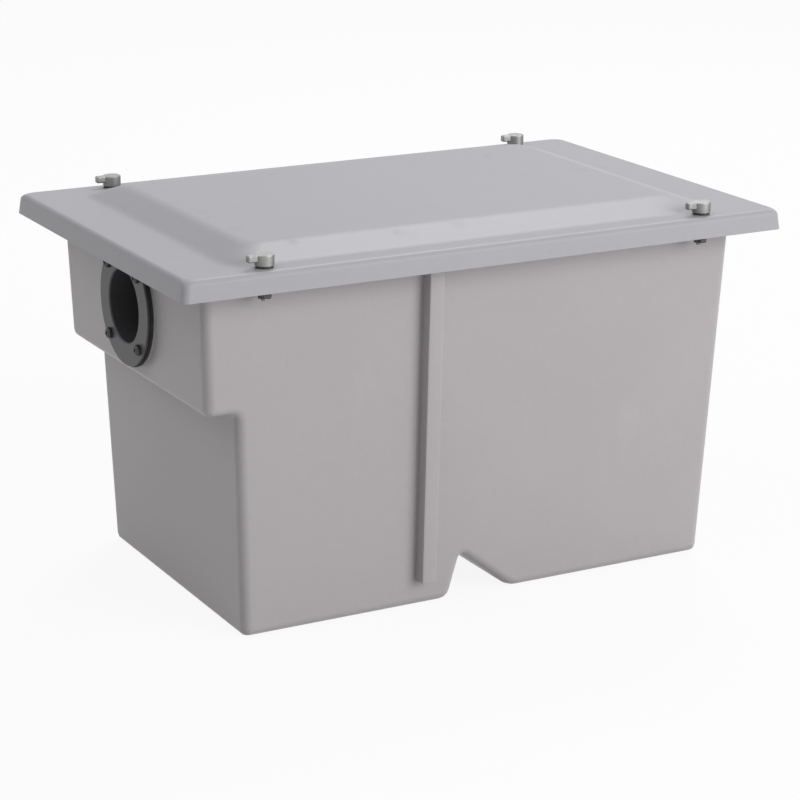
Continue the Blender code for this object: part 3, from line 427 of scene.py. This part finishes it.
# The lever bolts: cast steel heads with one short arm each, turned by hand, with a washer under the
# head, and a washer and a hexagon nut under the tank's flange. One bolt is modelled and copied.
def cast_finish():
    """Cast and tumbled stainless steel: a fine pebbled skin, duller in its low spots."""
    material, shader, wire, place = new_finish("cast_steel", (0.31, 0.31, 0.305), 0.50, 1.0)
    pebble = grain(place, 1100.0, 3.0)
    stain = between(grain(place, 130.0, 3.0), 0.45, 0.70)
    feed(shader, Base_Color=tint(stain * 0.5 + pebble * 0.3, (0.31, 0.31, 0.305), (0.20, 0.20, 0.19)),
         Roughness=0.44 + pebble * 0.12 + stain * 0.08, Normal=dented(pebble, 0.00009))
    return material


def steel_finish(name, colour, roughness):
    """Turned or pressed steel: fine tool lines, a few darker spots."""
    material, shader, wire, place = new_finish(name, colour, roughness, 1.0)
    lines = grain(place, 500.0, 2.0, (1.0, 1.0, 9.0))
    spots = between(grain(place, 260.0, 3.0), 0.56, 0.72)
    dark = tuple(c * 0.66 for c in colour)
    feed(shader, Base_Color=tint(spots * 0.7 + lines * 0.2, colour, dark),
         Roughness=roughness - 0.05 + lines * 0.12 + spots * 0.10, Normal=dented(lines, 0.00003))
    return material


cast_steel = cast_finish()
plain_steel = steel_finish("plain_steel", (0.46, 0.46, 0.45), 0.30)
# Painted shade: this near-black steel on the washers and nuts stands in for the contact shadow round the foot
# of each bolt head and for the shade under the tank's flange.
painted_shade_steel = steel_finish("painted_shade_steel", (0.085, 0.083, 0.078), 0.50)
BOSS_RADIUS, BOSS_HEIGHT, BOSS_EDGE = 0.0076, 0.0090, 0.0012
TOP_RING, TOP_DISH = 0.0030, 0.0003
ARM_ROOT, ARM_END, ARM_HALF, ARM_LOW, ARM_HIGH = -0.002, -0.0143, 0.0033, 0.0030, 0.00895
ARM_EDGE, ARM_TAPER = 0.0011, (1.0, 0.88, 0.94)
SHANK_RADIUS, SHANK_EDGE, SHANK_CLEAR = 0.003, 0.0005, 0.001
BOLT_SEAT = 0.3088
bolt_low, bolt_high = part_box("lever_bolt_1")
shank_end = bolt_low.z - BOLT_SEAT

arm = start_piece("arm")
bpy.ops.mesh.primitive_cube_add(size=1.0)
bpy.ops.transform.resize(value=(ARM_ROOT - ARM_END, 2 * ARM_HALF, ARM_HIGH - ARM_LOW))
bpy.ops.transform.translate(value=((ARM_ROOT + ARM_END) / 2, 0.0, (ARM_LOW + ARM_HIGH) / 2))
pick("faces", lambda face, middle: middle.x < ARM_END + LEVEL_PLAY)
bpy.ops.transform.resize(value=ARM_TAPER)
bpy.ops.mesh.select_all(action="SELECT")
bpy.ops.mesh.bevel(offset=ARM_EDGE, segments=4)
end_modelling()
pattern = start_piece("lever_bolt_pattern")
bpy.ops.mesh.primitive_cylinder_add(vertices=40, radius=BOSS_RADIUS, depth=BOSS_HEIGHT,
                                    location=(0.0, 0.0, BOSS_HEIGHT / 2))
pick("faces", level_at(0.0))
bpy.ops.mesh.inset(thickness=BOSS_RADIUS - SHANK_RADIUS)
bpy.ops.mesh.extrude_region_move(TRANSFORM_OT_translate={
    "value": (0.0, 0.0, shank_end), "orient_type": "GLOBAL"})
pick("faces", level_at(BOSS_HEIGHT))
bpy.ops.mesh.inset(thickness=TOP_RING)
bpy.ops.transform.translate(value=(0.0, 0.0, -TOP_DISH))
pick("edges", level_at(BOSS_HEIGHT))
bpy.ops.mesh.bevel(offset=BOSS_EDGE, segments=4)
pick("edges", lambda edge, middle: level_at(shank_end)(edge, middle)
     or level_at(0.0)(edge, middle) and middle.xy.length > SHANK_RADIUS + SHANK_CLEAR)
bpy.ops.mesh.bevel(offset=SHANK_EDGE, segments=2)
end_modelling()
use(pattern, "BOOLEAN", object=arm, operation="UNION", solver="EXACT")
bpy.data.objects.remove(arm)
use(pattern, "BEVEL", width=0.0004, segments=2, limit_method="ANGLE", angle_limit=math.radians(50.0))
smooth(pattern, 32.0)
for number in range(1, 5):
    at = middle_of(f"lid_washer_{number}")
    bolt = bpy.data.objects.new(f"lever_bolt_head_{number}", pattern.data.copy())
    bpy.context.scene.collection.objects.link(bolt)
    bolt.data.transform(Matrix.Translation((at.x, at.y, BOLT_SEAT)))
    fit_piece(bolt, f"bolt_{number}", cast_steel, f"lever_bolt_{number}")
    # The washers under the heads, the washers under the flange and the nuts take the painted-shade steel.
    upper = merged_copy(f"lid_washer_{number}", f"upper_washer_{number}", edge=0.00015)
    fit_piece(upper, "cover", painted_shade_steel, f"lid_washer_{number}")
    lower = merged_copy(f"flange_washer_{number}", f"lower_washer_{number}", edge=0.0002)
    fit_piece(lower, "trap", painted_shade_steel, f"flange_washer_{number}")
    nut = merged_copy(f"flange_nut_{number}", f"hex_nut_{number}", edge=0.0004)
    fit_piece(nut, "trap", painted_shade_steel, f"flange_nut_{number}")
bpy.data.objects.remove(pattern)


# The pipe sockets: the same flanged moulding in dark grey pipe plastic at both ends, each with four
# blackened screws through its flange, the rubber ring and the tank's flat seat, and nuts inside. One
# screw is modelled and copied, each turned a little further than the last.
def pipe_finish(name, colour):
    """Satin pipe plastic with fine draw lines, faint clouds and a few pale scratches."""
    material, shader, wire, place = new_finish(name, colour, 0.40, gloss=0.28)
    cloud = grain(place, 45.0, 3.0)
    fine = grain(place, 800.0, 2.0)
    scratch = between(grain(place, 90.0, 2.0, (0.3, 4.0, 4.0)), 0.68, 0.74)
    pale = tuple(c * 1.35 + 0.01 for c in colour)
    feed(shader, Base_Color=tint(cloud * 0.35 + scratch * 0.3, colour, pale),
         Roughness=0.34 + cloud * 0.10 + scratch * 0.12, Normal=dented(fine * 0.7 + scratch * 0.3, 0.00006))
    return material


socket_plastic = pipe_finish("socket_plastic", (0.060, 0.060, 0.065))
dark_steel = steel_finish("dark_steel", (0.070, 0.070, 0.065), 0.44)
SCREW_HEAD_RADIUS, SCREW_HEAD_HEIGHT, SCREW_HEAD_ROUND = 0.0045, 0.0034, 0.0020
SCREW_RADIUS, SCREW_TIP = 0.0025, 0.0005
RECESS_SIZE = (0.0052, 0.0011, 0.0030)
SCREW_TURN = 0.7
screw_low, screw_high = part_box("inlet_screw_1")
screw_length = screw_high.x - screw_low.x
pattern = start_piece("pan_screw_pattern")
bpy.ops.mesh.primitive_cylinder_add(vertices=28, radius=SCREW_HEAD_RADIUS, depth=SCREW_HEAD_HEIGHT,
                                    location=(0.0, 0.0, -SCREW_HEAD_HEIGHT / 2))
pick("faces", level_at(-SCREW_HEAD_HEIGHT))
bpy.ops.mesh.inset(thickness=SCREW_HEAD_RADIUS - SCREW_RADIUS)
bpy.ops.mesh.extrude_region_move(TRANSFORM_OT_translate={
    "value": (0.0, 0.0, SCREW_HEAD_HEIGHT - screw_length), "orient_type": "GLOBAL"})
pick("edges", level_at(0.0))
bpy.ops.mesh.bevel(offset=SCREW_HEAD_ROUND, segments=5)
pick("edges", level_at(-screw_length))
bpy.ops.mesh.bevel(offset=SCREW_TIP, segments=2)
end_modelling()
for turn in (0.0, math.pi / 2):
    bpy.ops.object.select_all(action="DESELECT")
    bpy.ops.mesh.primitive_cube_add(size=1.0, rotation=(0.0, 0.0, turn), scale=RECESS_SIZE)
    blade = bpy.context.object
    use(pattern, "BOOLEAN", object=blade, operation="DIFFERENCE", solver="EXACT")
    bpy.data.objects.remove(blade)
smooth(pattern, 35.0)
for end, facing in (("inlet", -1.0), ("outlet", 1.0)):
    socket = merged_copy(f"{end}_socket", f"{end}_pipe_socket", edge=0.0003)
    fit_piece(socket, "trap", socket_plastic, f"{end}_socket")
    for number in range(1, 5):
        low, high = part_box(f"{end}_screw_{number}")
        head = (low if facing < 0.0 else high).x
        screw = bpy.data.objects.new(f"{end}_pan_screw_{number}", pattern.data.copy())
        bpy.context.scene.collection.objects.link(screw)
        screw.data.transform(Matrix.Rotation(number * SCREW_TURN, 4, "Z"))
        screw.data.transform(Matrix.Translation((head, (low.y + high.y) / 2, (low.z + high.z) / 2))
                             @ Matrix.Rotation(facing * math.pi / 2, 4, "Y"))
        fit_piece(screw, "trap", dark_steel, f"{end}_screw_{number}")
        nut = merged_copy(f"{end}_nut_{number}", f"{end}_hex_nut_{number}", edge=0.0003)
        fit_piece(nut, "trap", plain_steel, f"{end}_nut_{number}")
bpy.data.objects.remove(pattern)


# The outlet trap inside: a tee pushed over the outlet socket's spigot, a pipe down from it that draws
# from below the grease, and a cap on top that comes out to rod the drain.
down_plastic = pipe_finish("down_plastic", (0.16, 0.16, 0.17))
for node, name, finish, material_slot in (("trap_tee", "outlet_tee", socket_plastic, "grey_pipe_plastic"),
                                          ("down_pipe", "dipping_pipe", down_plastic, "down_pipe_plastic"),
                                          ("trap_cap", "rodding_cap", socket_plastic, "grey_pipe_plastic")):
    part = merged_copy(node, name, edge=0.0004)
    fit_piece(part, "trap", finish, node)


# The baffle: a plain plate of light grey board in the two guides, with two finger holes, and a folded
# steel angle riveted to it that carries one rim of the basket.
def board_finish():
    """Pressed plastic board: a fine even grain and faint wipe marks."""
    material, shader, wire, place = new_finish("baffle_board", (0.50, 0.50, 0.50), 0.42)
    fine = grain(place, 700.0, 3.0)
    wipe = grain(place, 16.0, 3.0, (1.0, 1.0, 5.0))
    feed(shader, Base_Color=tint(wipe * 0.6 + fine * 0.2, (0.47, 0.47, 0.46), (0.53, 0.53, 0.53)),
         Roughness=0.36 + wipe * 0.12, Normal=dented(fine, 0.00006))
    return material


def sheet_finish():
    """Bright stainless sheet with a mill grain along its length."""
    material, shader, wire, place = new_finish("sheet_steel", (0.52, 0.52, 0.51), 0.28, 1.0)
    mill = grain(place, 420.0, 3.0, (6.0, 0.4, 6.0))
    haze = between(grain(place, 40.0, 3.0), 0.45, 0.75)
    feed(shader, Base_Color=tint(haze * 0.5 + mill * 0.2, (0.54, 0.54, 0.53), (0.42, 0.42, 0.41)),
         Roughness=0.22 + mill * 0.12 + haze * 0.10, Normal=dented(mill, 0.00003))
    return material


sheet_steel = sheet_finish()
baffle = merged_copy("baffle_plate", "baffle_board", edge=0.0004)
fit_piece(baffle, "trap", board_finish(), "baffle_plate")
rest = merged_copy("basket_rest", "basket_angle", edge=0.0002)
fit_piece(rest, "trap", sheet_steel, "basket_rest")
for number in (1, 2):
    rivet = merged_copy(f"rest_rivet_{number}", f"angle_rivet_{number}", edge=0.0002)
    fit_piece(rivet, "trap", sheet_steel, f"rest_rivet_{number}")


# The basket: punched and folded stainless sheet that hangs by its rim between the tank's ledge and the
# baffle, and its bail, a bent wire that turns in two ears.
basket = merged_copy("basket", "strainer_basket", edge=0.0002, steps=1)
fit_piece(basket, "trap", sheet_steel, "basket")
bail = merged_copy("basket_handle", "basket_bail", sharp=60.0, edge=0.0)
fit_piece(bail, "bail", plain_steel, "basket_handle")
